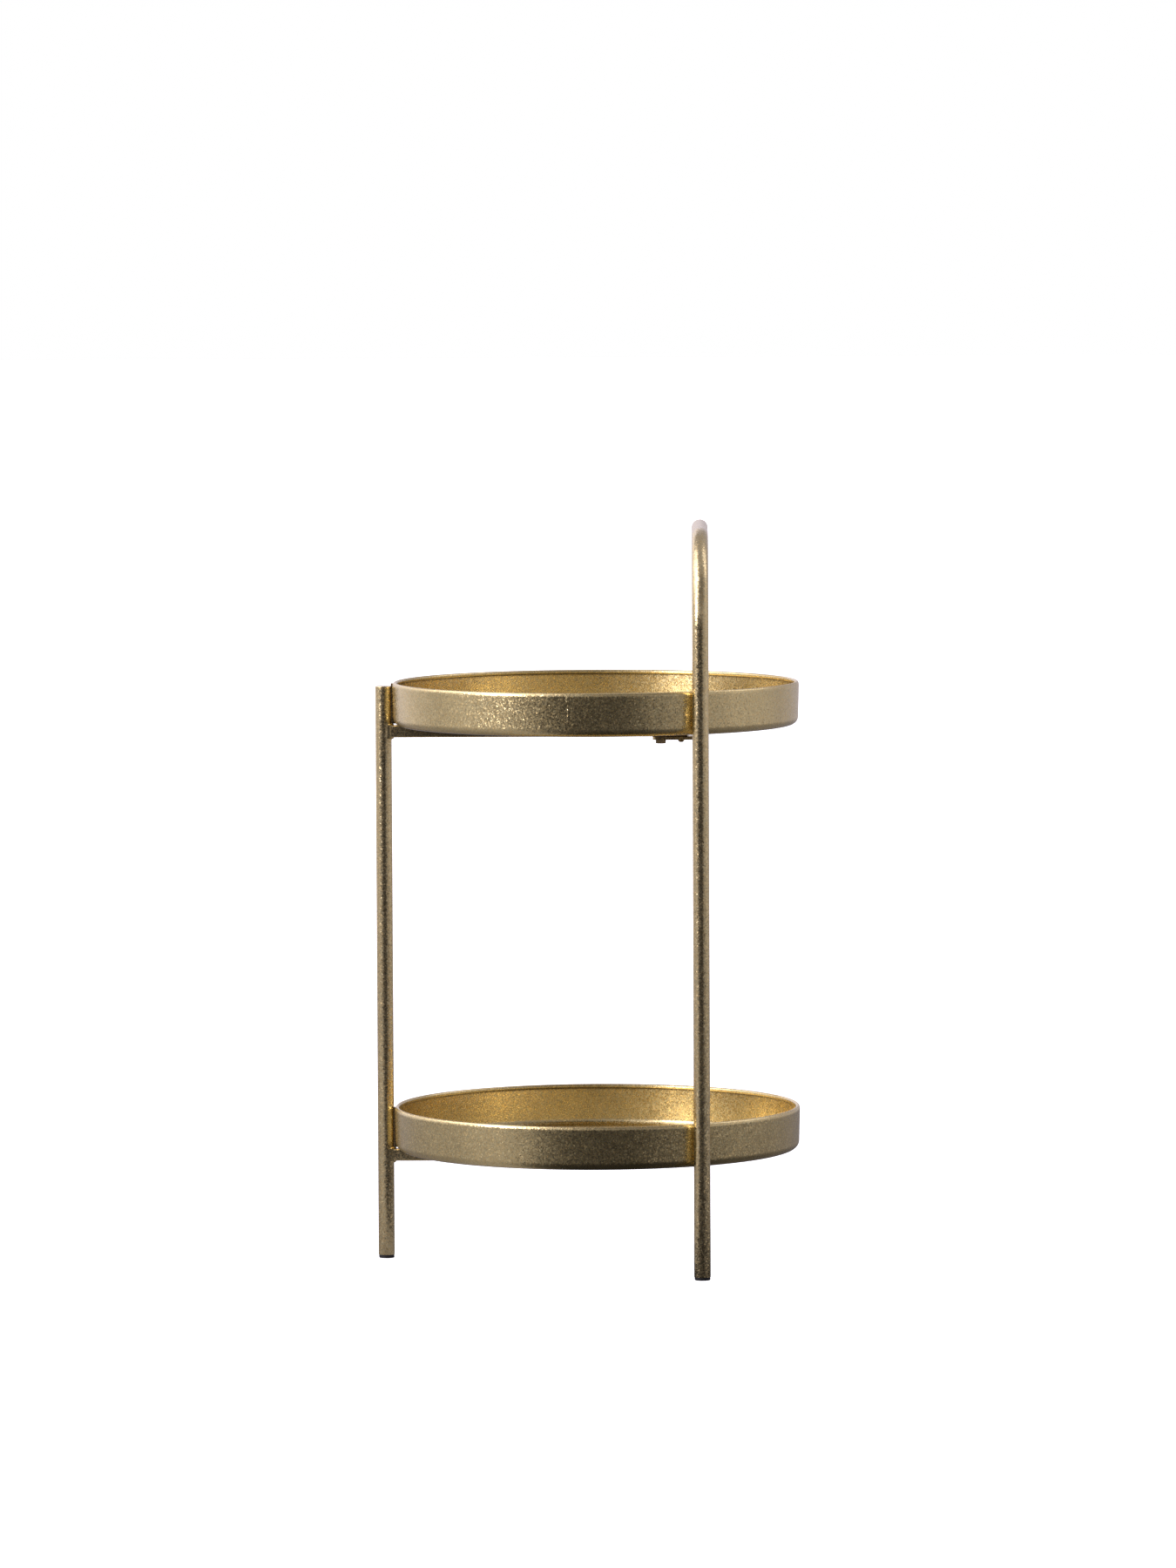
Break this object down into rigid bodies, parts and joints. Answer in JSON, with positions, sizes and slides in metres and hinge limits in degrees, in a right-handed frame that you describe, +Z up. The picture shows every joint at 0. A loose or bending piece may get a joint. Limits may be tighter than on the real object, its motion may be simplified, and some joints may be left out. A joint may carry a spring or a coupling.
{
  "type": "tiered side table",
  "caption": "Round two-tier side table with lipped metal trays between a single side leg and an inverted-U tube hoop that serves as legs and carrying handle.",
  "frame": {"origin": "on the floor, at the centre of the table's footprint box", "axes": "+Z up; +X from the side leg towards the hoop; +Y along the hoop's crossbars, so y = 0 is the plane of symmetry"},
  "size_m": [0.417, 0.4, 0.725],
  "materials": {
    "tray_gold": "antique gold leaf over steel, lightly crinkled, satin",
    "frame_gold": "antique champagne gold leaf over steel tube, satin",
    "bolt_steel": "bronzed steel, satin",
    "foot_black": "matte black polyethylene"
  },
  "bodies": {
    "root": {"hoop_tube": "frame_gold", "side_leg_tube": "frame_gold", "side_leg_cap": "frame_gold", "upper_tray": "tray_gold", "lower_tray": "tray_gold", "upper_radial_bar": "frame_gold", "lower_radial_bar": "frame_gold", "upper_crossbar": "frame_gold", "lower_crossbar": "frame_gold", "upper_tongue": "frame_gold", "lower_tongue": "frame_gold", "joint_bolts": "bolt_steel", "captive_nuts": "bolt_steel", "locating_pins": "bolt_steel", "side_leg_welds": "frame_gold", "upper_crossbar_welds": "frame_gold", "lower_crossbar_welds": "frame_gold", "tongue_welds": "frame_gold", "upper_tray_tacks": "frame_gold", "lower_tray_tacks": "frame_gold", "leg_feet": "foot_black"}
  },
  "joints": []
}
